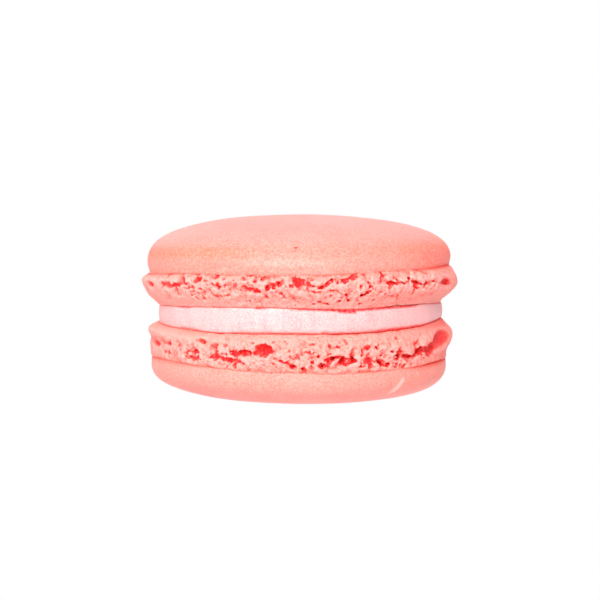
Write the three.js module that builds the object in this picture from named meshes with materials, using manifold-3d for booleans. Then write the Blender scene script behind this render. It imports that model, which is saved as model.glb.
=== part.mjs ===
// A pink macaron: two baked almond-meringue shells, base to base, with a disc of cream between them.
// Units are millimetres, +Z is up and -Y is the front. The origin is on the axis of the lower shell,
// in the small flat spot on which its dome rests.
//
// Each shell is one solid. Its skin is a smooth dome. Round the dome's edge runs the foot, the band
// of open sponge that rose under the skin in the oven: it bulges, is lumpy, and has hollows where
// steam broke out, mostly in the half next to the skin.

import * as THREE from "three";
import { mergeVertices } from "three/addons/utils/BufferGeometryUtils.js";
import { SimplexNoise } from "three/addons/math/SimplexNoise.js";
import Module from "manifold-3d";

// Driving dimensions shared by the two shells
const COLUMNS = 120; // points round the foot; the skin has half as many
const FOOT_ROWS = 8;
const SKIN_ROWS = 10;
const CREASE_DEPTH = 0.35; // how far the groove between foot and skin cuts in
const CREASE_HEIGHT = 0.3;
const LUMPS = { size: 3.0, relief: 0.75 }; // the sponge's lumps are about half this size across
const GRAIN = { size: 1.7, relief: 0.25 };
const MEAN_LUMP = 0.4; // of the size of a noise value, so that lumps rise as much as creases sink
const HOLLOW_ROUGHNESS = { size: 0.6, share: 0.22 };

// The shells, each upright in its own frame with its flat base at z = 0. A hollow is
// [azimuth in degrees from the front towards +X, height, half length, half height, depth, slant in degrees].
const UPPER = {
  seed: 11,
  skinRadius: 22.0,
  skinHeight: 7.9,
  skinFullness: { across: 1.97, up: 3.5 },
  poleShift: 0, // how far the dome's crown leans towards +X
  footHeight: 5.0,
  footRise: 0.45, // the foot rose more on the +X side
  baseRadius: 20.4,
  baseInsetPower: 2.2,
  bulge: 0.95,
  bulgeRise: 0, // how much more the foot bulges on the +X side
  bulgePower: 1.7,
  flatSpotRadius: 0,
  hollows: [
    [-53, 3.3, 1.9, 0.45, 1.3, 0],
    [-41, 4.1, 1.5, 0.35, 1.0, -12],
    [-25, 3.1, 1.5, 0.8, 0.7, 0],
    [-13, 3.2, 1.9, 0.45, 1.3, 8],
    [1, 3.8, 1.2, 0.6, 1.7, 6],
    [10, 3.5, 1.3, 0.35, 1.4, 28],
    [18, 4.3, 1.3, 0.4, 1.3, 18],
    [29, 4.5, 0.6, 0.4, 1.5, 0],
    [22, 2.2, 0.45, 0.4, 1.4, 0],
    [36, 3.6, 1.5, 0.4, 1.2, -5],
    [46, 3.6, 2.1, 0.4, 1.3, -10],
    [64, 3.4, 1.1, 0.35, 1.1, 0],
  ],
};
const LOWER = {
  seed: 29,
  skinRadius: 21.3,
  skinHeight: 5.6,
  skinFullness: { across: 2.42, up: 3.6 },
  poleShift: 1.1,
  footHeight: 5.4,
  footRise: 0.35,
  baseRadius: 20.4,
  baseInsetPower: 3.0,
  bulge: 0.75,
  bulgeRise: 0.35,
  bulgePower: 0.6,
  flatSpotRadius: 7.5,
  hollows: [
    [-68, 2.4, 1.5, 0.4, 1.2, -10],
    [-43, 3.0, 1.8, 0.6, 1.0, -12],
    [-32, 3.5, 0.9, 0.5, 1.5, 0],
    [-24, 3.7, 1.2, 0.45, 1.5, -14],
    [-20, 2.5, 1.5, 0.45, 1.3, 8],
    [-13, 2.2, 1.2, 0.9, 1.9, 0],
    [-1, 4.4, 0.5, 0.45, 1.1, 0],
    [8, 4.0, 1.0, 0.5, 1.6, 40],
    [15, 3.4, 1.7, 0.7, 1.9, -8],
    [30, 4.0, 0.7, 0.4, 1.3, 0],
    [39, 3.5, 1.3, 0.6, 1.4, 6],
    [50, 3.1, 1.7, 0.5, 1.8, 24],
    [63, 2.2, 3.0, 1.1, 1.0, 12],
  ],
};
// Further hollows fill what the front view doesn't show
const BACK_HOLLOWS = { count: 14, from: 84, to: 276, low: 0.42, high: 0.86 };

// The cream, a disc that is thicker at the front and a little at the right, where it lifts the upper shell
const CREAM_RADIUS = 20.4;
const CREAM_THICKNESS = 2.45; // at the axis
const CREAM_SLOPE_DEGREES = { front: 2.2, right: 0.3 };
const CREAM_GAP = 0.25; // the thin dark line between cream and shell
const CREAM_EDGE = 0.3; // rounding of its rims
const CREAM_SWELL = 0.12; // how far its side bulges
const CREAM_WANDER = { size: 9, relief: 0.07, seed: 5 };
const CREAM_COLUMNS = 80;
const UPPER_SHIFT = 0.12; // the upper shell and the cream sit a little to the right

const COLOURS = { shell: 0xf9b5a6, cream: 0xfde3e1 };

const FULL_TURN = 2 * Math.PI;
const lowerShellHeight = LOWER.footHeight + LOWER.skinHeight;
const frontSlope = THREE.MathUtils.degToRad(CREAM_SLOPE_DEGREES.front);
const rightSlope = THREE.MathUtils.degToRad(CREAM_SLOPE_DEGREES.right);

const manifold = await Module();
manifold.setup();

// A small seeded generator, so that every build draws the same numbers
function seededRandom(seed) {
  let state = seed;
  return () => {
    state = (state + 0x6d2b79f5) | 0;
    let t = Math.imul(state ^ (state >>> 15), 1 | state);
    t = (t + Math.imul(t ^ (t >>> 7), 61 | t)) ^ t;
    return ((t ^ (t >>> 14)) >>> 0) / 4294967296;
  };
}

function seededNoise(seed) {
  return new SimplexNoise({ random: seededRandom(seed) });
}

// A point at a radius and height; azimuth 0 is the front, -Y, and it grows towards +X
function around(azimuth, radius, height) {
  return new THREE.Vector3(radius * Math.sin(azimuth), -radius * Math.cos(azimuth), height);
}

function ring(count, radiusAt, heightAt) {
  return Array.from({ length: count }, (_, i) => {
    const azimuth = (FULL_TURN * i) / count;
    return around(azimuth, radiusAt(azimuth), heightAt(azimuth));
  });
}

function shifted(points, sideways) {
  points.forEach((point) => (point.x += sideways));
  return points;
}

// Joins rings of points, lowest first, into one closed surface. Each ring has as many points as the
// one below it, or half as many.
function closedSurface(bottomCentre, rings, topCentre) {
  const points = [bottomCentre, ...rings.flat(), topCentre];
  const starts = [];
  rings.reduce((start, { length }) => {
    starts.push(start);
    return start + length;
  }, 1);
  const index = [];
  const first = rings[0].length;
  for (let i = 0; i < first; i++) index.push(0, 1 + ((i + 1) % first), 1 + i);
  for (let k = 0; k + 1 < rings.length; k++) {
    const below = rings[k].length;
    const above = rings[k + 1].length;
    const share = below / above;
    for (let i = 0; i < above; i++) {
      const a = starts[k] + i * share;
      const c = starts[k] + ((i + 1) * share) % below;
      const d = starts[k + 1] + i;
      const e = starts[k + 1] + ((i + 1) % above);
      if (share === 2) {
        const b = a + 1;
        index.push(a, b, d, b, e, d, b, c, e);
      } else index.push(a, c, d, c, e, d);
    }
  }
  const last = rings.at(-1).length;
  const top = points.length - 1;
  for (let i = 0; i < last; i++) index.push(starts.at(-1) + i, starts.at(-1) + ((i + 1) % last), top);
  const geometry = new THREE.BufferGeometry().setFromPoints(points);
  geometry.setIndex(index);
  return geometry;
}

function solidOf(geometry) {
  const bare = new THREE.BufferGeometry();
  bare.setAttribute("position", geometry.getAttribute("position"));
  bare.setIndex(geometry.index);
  const merged = mergeVertices(bare, 1e-4);
  return new manifold.Manifold(
    new manifold.Mesh({
      numProp: 3,
      vertProperties: new Float32Array(merged.attributes.position.array),
      triVerts: new Uint32Array(merged.index.array),
    }),
  );
}

function geometryOf(solid) {
  const { vertProperties, triVerts } = solid.getMesh();
  const geometry = new THREE.BufferGeometry();
  geometry.setAttribute("position", new THREE.BufferAttribute(vertProperties, 3));
  geometry.setIndex(new THREE.BufferAttribute(triVerts, 1));
  geometry.computeVertexNormals();
  return geometry;
}

function footHeightAt(shell, azimuth) {
  return shell.footHeight + shell.footRise * Math.sin(azimuth);
}

// The foot's radius before its lumps, at a share of its height: 0 at the flat base and 1 at the skin
function footRadius(shell, share, azimuth) {
  const inset = (shell.skinRadius - shell.baseRadius) * (1 - share) ** shell.baseInsetPower;
  const bulge = shell.bulge + shell.bulgeRise * Math.sin(azimuth);
  return shell.skinRadius - inset + bulge * Math.sin(Math.PI * share ** shell.bulgePower);
}

// The size of a noise value, and not the value, gives round lumps with sharp creases between them
function lumpAt(noise, point, { size, relief }) {
  const value = noise.noise3d(point.x / size, point.y / size, point.z / size);
  return relief * (Math.abs(value) - MEAN_LUMP);
}

function footRings(shell, noise) {
  return Array.from({ length: FOOT_ROWS + 1 }, (_, row) => {
    const share = row / FOOT_ROWS;
    const fade = Math.sqrt(Math.sin(Math.PI * share)); // flat at the base and at the skin
    const lumps = (azimuth) => {
      const point = around(azimuth, shell.skinRadius, share * shell.footHeight);
      return lumpAt(noise, point, LUMPS) + lumpAt(noise, point, GRAIN);
    };
    return ring(
      COLUMNS,
      (azimuth) => footRadius(shell, share, azimuth) + fade * lumps(azimuth),
      (azimuth) => share * footHeightAt(shell, azimuth),
    );
  });
}

function skinRings(shell) {
  const { across, up } = shell.skinFullness;
  const crease = ring(
    COLUMNS,
    () => shell.skinRadius - CREASE_DEPTH,
    (azimuth) => footHeightAt(shell, azimuth) + CREASE_HEIGHT / 2,
  );
  const dome = Array.from({ length: SKIN_ROWS }, (_, row) => {
    const turn = (Math.PI / 2) * ((row + 0.2) / SKIN_ROWS) ** 1.25; // closer rows at the steep side
    const radius = shell.skinRadius * Math.cos(turn) ** (2 / across);
    const rise = Math.sin(turn) ** (2 / up);
    const level = ring(
      COLUMNS / 2,
      () => radius,
      (azimuth) => {
        const seam = footHeightAt(shell, azimuth) + CREASE_HEIGHT;
        return seam + (shell.footHeight + shell.skinHeight - seam) * rise;
      },
    );
    return shifted(level, shell.poleShift * rise ** 3);
  });
  return [crease, ...dome];
}

// A rough-walled pocket, sunk in the foot at its place
function hollowSolid(shell, [degrees, height, halfLength, halfHeight, depth, slant], noise) {
  const pocket = new THREE.IcosahedronGeometry(1, 1);
  const position = pocket.getAttribute("position");
  const point = new THREE.Vector3();
  for (let i = 0; i < position.count; i++) {
    point.fromBufferAttribute(position, i);
    const at = point.clone().divideScalar(HOLLOW_ROUGHNESS.size);
    const rough = HOLLOW_ROUGHNESS.share * noise.noise3d(at.x + degrees, at.y, at.z + height);
    position.setXYZ(i, ...point.multiplyScalar(1 + rough));
  }
  const azimuth = THREE.MathUtils.degToRad(degrees);
  const share = height / footHeightAt(shell, azimuth);
  pocket.scale(halfLength, depth, halfHeight);
  pocket.rotateY(-THREE.MathUtils.degToRad(slant));
  pocket.translate(0, -footRadius(shell, share, azimuth), height);
  pocket.rotateZ(azimuth);
  pocket.deleteAttribute("normal");
  pocket.deleteAttribute("uv");
  return solidOf(mergeVertices(pocket, 1e-4));
}

function backHollows(shell) {
  const random = seededRandom(shell.seed + 1);
  const between = (low, high) => low + (high - low) * random();
  const { count, from, to, low, high } = BACK_HOLLOWS;
  return Array.from({ length: count }, (_, i) => {
    const degrees = from + ((to - from) * (i + between(0.15, 0.85))) / count;
    const halfHeight = between(0.35, 0.65);
    return [
      degrees,
      shell.footHeight * between(low, high),
      halfHeight * between(1.3, 3.0),
      halfHeight,
      between(1.0, 1.7),
      between(-20, 20),
    ];
  });
}

function shellGeometry(shell) {
  const noise = seededNoise(shell.seed);
  const rings = [...footRings(shell, noise), ...skinRings(shell)];
  const height = shell.footHeight + shell.skinHeight;
  const flat = shell.flatSpotRadius;
  if (flat) {
    const edge = ring(COLUMNS / 2, () => flat, () => height);
    rings[rings.length - 1] = shifted(edge, shell.poleShift);
  }
  const baseCentre = new THREE.Vector3(0, 0, 0);
  const pole = new THREE.Vector3(shell.poleShift, 0, height);
  const whole = solidOf(closedSurface(baseCentre, rings, pole));
  const hollows = [...shell.hollows, ...backHollows(shell)];
  const carved = hollows.reduce(
    (solid, hollow) => solid.subtract(hollowSolid(shell, hollow, noise)),
    whole,
  );
  // Carving can leave a loose crumb, which falls off
  const bodies = carved.decompose().sort((a, b) => b.volume() - a.volume());
  return geometryOf(bodies[0]);
}

// Turned over on its dome, with azimuths kept as they are seen from the front
function lowerShellGeometry() {
  const mirrored = {
    ...LOWER,
    footRise: -LOWER.footRise,
    bulgeRise: -LOWER.bulgeRise,
    poleShift: -LOWER.poleShift,
    hollows: LOWER.hollows.map(([degrees, ...rest]) => [-degrees, ...rest]),
  };
  return shellGeometry(mirrored);
}

function creamGeometry() {
  const noise = seededNoise(CREAM_WANDER.seed);
  const bottom = CREAM_GAP;
  const top = CREAM_THICKNESS - CREAM_GAP;
  const topAt = (radius, azimuth) => {
    const towardsFront = Math.tan(frontSlope) * radius * Math.cos(azimuth);
    const towardsRight = Math.tan(rightSlope) * radius * Math.sin(azimuth);
    return top + towardsFront + towardsRight;
  };
  const wander = (azimuth) => {
    const at = around(azimuth, CREAM_RADIUS / CREAM_WANDER.size, 0);
    return CREAM_WANDER.relief * noise.noise3d(at.x, at.y, 0);
  };
  // The side's outline: [share of the thickness, how far out from the radius]
  const outline = [
    [0, -CREAM_EDGE],
    [0.12, 0],
    [0.5, CREAM_SWELL],
    [0.88, 0],
    [1, -CREAM_EDGE],
  ];
  const rings = outline.map(([share, out]) => {
    const radius = CREAM_RADIUS + out;
    return ring(
      CREAM_COLUMNS,
      (azimuth) => radius + wander(azimuth),
      (azimuth) => bottom + (topAt(radius, azimuth) - bottom) * share,
    );
  });
  return closedSurface(new THREE.Vector3(0, 0, bottom), rings, new THREE.Vector3(0, 0, top));
}

function piece(name, geometry, colour, roughness) {
  const material = new THREE.MeshStandardMaterial({ color: colour, roughness, metalness: 0 });
  const mesh = new THREE.Mesh(geometry, material);
  mesh.name = name;
  return mesh;
}

const lowerShell = piece("lower_shell", lowerShellGeometry(), COLOURS.shell, 0.75);
lowerShell.rotation.y = Math.PI;
lowerShell.position.z = lowerShellHeight;

const cream = piece("cream_filling", creamGeometry(), COLOURS.cream, 0.55);
cream.position.set(UPPER_SHIFT, 0, lowerShellHeight);

const upperShell = piece("upper_shell", shellGeometry(UPPER), COLOURS.shell, 0.75);
const leaning = new THREE.Group();
leaning.position.set(UPPER_SHIFT, 0, lowerShellHeight + CREAM_THICKNESS);
leaning.rotation.set(-frontSlope, -rightSlope, 0);
leaning.add(upperShell);

const macaron = new THREE.Group();
macaron.add(lowerShell, cream, leaning);

export default macaron;
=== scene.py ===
# %% [markdown]
# # A pink macaron
#
# Two baked almond-meringue shells lie base to base, with a disc of cream between them. The packed
# model already holds their true sizes and places, with a coarse solid for each piece. This lesson
# loads it as a frame and rebuilds each piece in the same place, with the fine surface of the real
# biscuit: a smooth skin, and under it the foot, a ruffle of open sponge.

# %% Load the frame
import itertools
import math
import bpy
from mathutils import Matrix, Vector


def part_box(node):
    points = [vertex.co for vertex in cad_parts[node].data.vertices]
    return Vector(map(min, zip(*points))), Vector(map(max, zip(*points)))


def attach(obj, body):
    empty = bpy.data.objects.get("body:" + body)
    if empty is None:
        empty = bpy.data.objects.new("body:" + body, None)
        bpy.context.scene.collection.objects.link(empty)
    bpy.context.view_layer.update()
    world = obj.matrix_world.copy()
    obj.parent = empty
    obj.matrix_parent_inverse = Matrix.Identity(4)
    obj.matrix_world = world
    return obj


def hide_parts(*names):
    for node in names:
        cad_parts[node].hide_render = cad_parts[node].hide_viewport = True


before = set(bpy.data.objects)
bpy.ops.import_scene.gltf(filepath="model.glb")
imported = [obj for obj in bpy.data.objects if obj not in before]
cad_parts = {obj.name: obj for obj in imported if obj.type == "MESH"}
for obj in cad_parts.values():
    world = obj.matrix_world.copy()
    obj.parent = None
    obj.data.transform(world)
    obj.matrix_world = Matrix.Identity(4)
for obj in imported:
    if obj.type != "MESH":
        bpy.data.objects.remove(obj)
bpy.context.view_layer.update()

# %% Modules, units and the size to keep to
from types import SimpleNamespace

import bpy
import numpy as np
import openvdb
from mathutils import Matrix, Vector

MM = 0.001
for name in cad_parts:
    low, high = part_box(name)
    print(name, "measures", [round((b - a) / MM, 1) for a, b in zip(low, high)], "mm")

# %% [markdown]
# The camera comes first, because every later choice is judged through it. The photograph looks at
# the macaron from a little above its middle, through a long lens: the rims of the shells are curved
# only slightly. A camera 290 mm away with a 120 mm lens gives the same curves and the same size.

# %% Camera
CAMERA_PLACE = Vector((0.18, -289.5, 35.95)) * MM
CAMERA_DOWN = math.radians(4.35)
LENS = 120  # mm, on a sensor 36 mm wide

camera_data = bpy.data.cameras.new("camera")
camera_data.lens = LENS
camera_data.sensor_width = 36
camera_data.clip_start = 0.01
camera = bpy.data.objects.new("camera", camera_data)
camera.location = CAMERA_PLACE
camera.rotation_euler = (math.radians(90) - CAMERA_DOWN, 0, 0)
bpy.context.collection.objects.link(camera)
bpy.context.scene.camera = camera
print("the camera is", round(CAMERA_PLACE.length / MM), "mm away and looks a little down")

# %% [markdown]
# ## The shells' measures
#
# These are the driving sizes of the two shells, in millimetres, each in its own upright frame: the
# flat base that lay on the baking sheet is at height 0, and the dome is above. The lower shell is
# turned over afterwards. An azimuth is in degrees as seen from the front, and grows to the right.
#
# The skin is a superellipse with the powers `across` and `up`. Its crown lies off its axis by
# `pole_shift`, and a great `shift_power` keeps that shift near the crown. `tuck` is how far its lower
# edge draws in.
#
# The foot's outline on three sides is a list of height, as a share of its own, and distance beyond
# the skin's edge. Three lists go round the foot, with azimuth and distance: `lift` is how far the
# base's rim hangs below height 0, `crease` is the depth of the groove where foot and skin meet, and
# `seam` is how far that groove is above its level. Where the batter ran smooth, `calm` has a row of
# azimuth, half width and how much the foot is calmed. A hollow is a row of azimuth, height, half
# length, half height, depth, and slant as seen from the front.

# %% The upper shell's measures
UPPER = SimpleNamespace(
    name="upper_shell", seed=11, turned_over=False,
    skin_radius=22.0, skin_height=7.9, across=1.97, up=3.2, pole_shift=-0.8, shift_power=1.5, tuck=0.3,
    foot_height=5.0, foot_rise=0.45, flat_spot=0.0, shift=0.12,
    left=[(0, -1.6), (0.09, -1.3), (0.19, -0.75), (0.32, -0.17), (0.51, 0.3), (0.62, 0.57), (0.71, 0.74),
          (0.79, 0.82), (0.86, 0.72), (0.93, 0.3), (1, -0.12)],
    front=[(0, -1.6), (0.2, -0.8), (0.4, 0.05), (0.6, 0.65), (0.75, 0.75), (0.9, 0.4), (1, 0)],
    right=[(0, -1.6), (0.1, -1.45), (0.27, -0.2), (0.36, 0.3), (0.43, 0.66), (0.5, 0.82), (0.56, 0.86),
           (0.65, 0.77), (0.75, 0.57), (0.92, 0.05), (1, -0.1)],
    calm=[(-82, 27, 0.8), (84, 24, 0.8)],
    lift=[(-80, 0), (-52, -0.12), (-42, -0.15), (-30, -0.21), (-14, -0.2), (-4, -0.1), (4, -0.02), (10, 0.1),
          (26, 0.14), (34, -0.02), (42, -0.24), (50, -0.3), (60, -0.16), (75, -0.05), (90, 0)],
    crease=[(-90, 0.14), (-60, 0.1), (40, 0.08), (53, 0.1), (61, 0.4), (80, 0.42), (110, 0.1)],
    seam=[(-80, 0), (-42, 0.1), (-20, -0.15), (15, -0.5), (26, -0.2), (44, -0.17), (53, -0.26), (61, 0.0),
          (76, 0.2), (100, 0)],
    hollows=[
        (-69, 3.15, 1, 0.36, 1.1, 0),
        (-54.5, 3.15, 1.7, 0.44, 0.65, 0),
        (-49, 3.15, 1.3, 0.38, 0.6, 0),
        (-54.8, 4.5, 0.4, 0.24, 0.5, 0),
        (-46, 3.95, 0.65, 0.5, 0.4, 0),
        (-45.4, 4.1, 1.15, 0.36, 0.75, -45),
        (-44, 2.75, 0.65, 0.2, 0.4, 0),
        (-41, 2.95, 0.75, 0.26, 1.1, -15),
        (-38, 3.95, 1.15, 0.36, 1.1, 14),
        (-35.5, 4.55, 0.28, 0.14, 0.5, 78),
        (-34.5, 3.8, 0.55, 0.22, 1, 0),
        (-30.8, 4.4, 0.9, 0.32, 1.1, -5),
        (-31.5, 3.4, 0.3, 0.2, 0.9, -17),
        (-48, 1.95, 0.45, 0.14, 0.5, 0),
        (-41, 2.35, 0.4, 0.13, 0.5, 8),
        (-36.8, 2.65, 0.35, 0.12, 0.5, -30),
        (-37.8, 2.05, 0.65, 0.25, 0.3, 0),
        (-40.6, 1.4, 0.8, 0.12, 0.5, -33),
        (-37.3, 1.4, 0.3, 0.14, 0.5, 17),
        (-29.2, 3.1, 0.45, 0.4, 0.9, -60),
        (-27, 3.15, 0.4, 0.2, 1, 0),
        (-23.5, 3.1, 0.95, 1.05, 0.44, 0),
        (-23, 3.15, 0.22, 0.14, 0.8, 0),
        (-20, 4.2, 0.35, 0.2, 0.9, 19),
        (-26.4, 1.85, 0.4, 0.18, 0.9, 14),
        (-19.7, 1, 0.22, 0.12, 0.5, 0),
        (-18.6, 1.1, 0.22, 0.12, 0.4, 34),
        (-14, 4.35, 0.45, 0.24, 0.9, 0),
        (-12.5, 4.3, 0.65, 0.34, 1.3, 5),
        (-15.5, 3.75, 0.22, 0.26, 1, 0),
        (-17, 3.35, 0.45, 0.17, 0.9, -14),
        (-17.5, 2.8, 0.7, 0.22, 0.9, -12),
        (-15, 2.5, 0.55, 0.32, 1.2, 0),
        (-10.6, 3, 0.65, 0.4, 1.2, 0),
        (-9.2, 3.1, 0.5, 0.42, 1.2, 0),
        (-8.4, 3.2, 0.35, 0.42, 1.1, 0),
        (-8, 3.35, 0.6, 0.36, 1.2, 15),
        (-8.5, 2.4, 0.75, 0.25, 0.35, 0),
        (-11.8, 1.6, 0.35, 0.2, 0.6, 0),
        (-7, 3.7, 0.5, 0.2, 0.8, 0),
        (-5.5, 3.65, 0.55, 0.15, 0.7, -28),
        (-6.6, 2.25, 0.35, 0.2, 0.7, 0),
        (-5.6, 1.8, 0.4, 0.16, 0.8, -60),
        (-3, 3.2, 0.4, 0.22, 1, -20),
        (0.2, 3.35, 0.6, 0.36, 1.4, 20),
        (1.1, 3.55, 0.6, 0.5, 1.5, 0),
        (2, 3.7, 0.75, 0.4, 1.4, 0),
        (3.1, 3.3, 0.35, 0.34, 1.1, -25),
        (0.5, 2.75, 0.75, 0.25, 0.3, 0),
        (5.7, 3.05, 0.7, 0.18, 0.9, 0),
        (8.5, 3.15, 0.85, 0.34, 1.2, 33),
        (11.5, 3.9, 0.75, 0.36, 1.2, 22),
        (13.6, 3.65, 0.55, 0.26, 1.1, -10),
        (11.5, 2.6, 0.5, 0.15, 0.5, 0),
        (5, 2.4, 0.4, 0.18, 0.35, -20),
        (11.3, 1.8, 0.17, 0.12, 0.4, 0),
        (7.4, 1, 0.35, 0.13, 0.4, -15),
        (10.2, 0.75, 0.45, 0.18, 0.7, 0),
        (14.8, 1.1, 0.3, 0.12, 0.5, 15),
        (5.4, 0.7, 0.2, 0.12, 0.4, 0),
        (16, 3.85, 0.55, 0.3, 1.1, 15),
        (19.6, 4.42, 0.8, 0.4, 1.3, 22),
        (22.3, 4.6, 0.4, 0.14, 0.5, 0),
        (31, 4.6, 0.6, 0.4, 1.1, 0),
        (29.3, 4, 0.3, 0.34, 0.9, 0),
        (30, 3.6, 1.1, 0.46, 0.4, 0),
        (34, 3.25, 0.75, 0.38, 1.1, 0),
        (21.5, 2.9, 0.15, 0.5, 0.4, 0),
        (24.8, 3.1, 0.2, 0.34, 0.6, 0),
        (26, 2.6, 0.15, 0.14, 0.5, 0),
        (22.8, 1.95, 0.5, 0.27, 1, 0),
        (25, 2.25, 0.4, 0.25, 0.8, 0),
        (16.4, 1.95, 0.2, 0.14, 0.4, 0),
        (17.9, 1.25, 0.5, 0.16, 0.6, -19),
        (31.8, 1.95, 0.25, 0.16, 0.4, 0),
        (33.5, 2.7, 0.7, 0.33, 0.25, 0),
        (28.1, 1.15, 0.2, 0.15, 0.4, 0),
        (23.2, 0.65, 0.17, 0.16, 0.4, 0),
        (37, 3.35, 0.75, 0.25, 0.7, 0),
        (39.4, 3.4, 0.7, 0.38, 1.1, 30),
        (41.8, 3.85, 0.65, 0.34, 1, 25),
        (43.5, 3.6, 0.6, 0.26, 1, -25),
        (46.3, 3.25, 1.05, 0.32, 1, -14),
        (46, 2.8, 0.9, 0.38, 0.8, -10),
        (51.5, 3.3, 1.3, 0.26, 0.9, 5),
        (55.5, 3.35, 0.4, 0.4, 0.6, 0),
        (51.5, 4.25, 0.5, 0.18, 0.5, 15),
        (45.5, 2.2, 0.6, 0.2, 0.6, 75),
        (48.9, 1.7, 0.4, 0.14, 0.35, 25),
        (52.9, 1.75, 0.25, 0.13, 0.35, -32),
        (65.5, 3.35, 1.7, 0.5, 0.6, 0),
        (68.5, 3.15, 0.7, 0.32, 1, 0),
    ],
)

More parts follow.
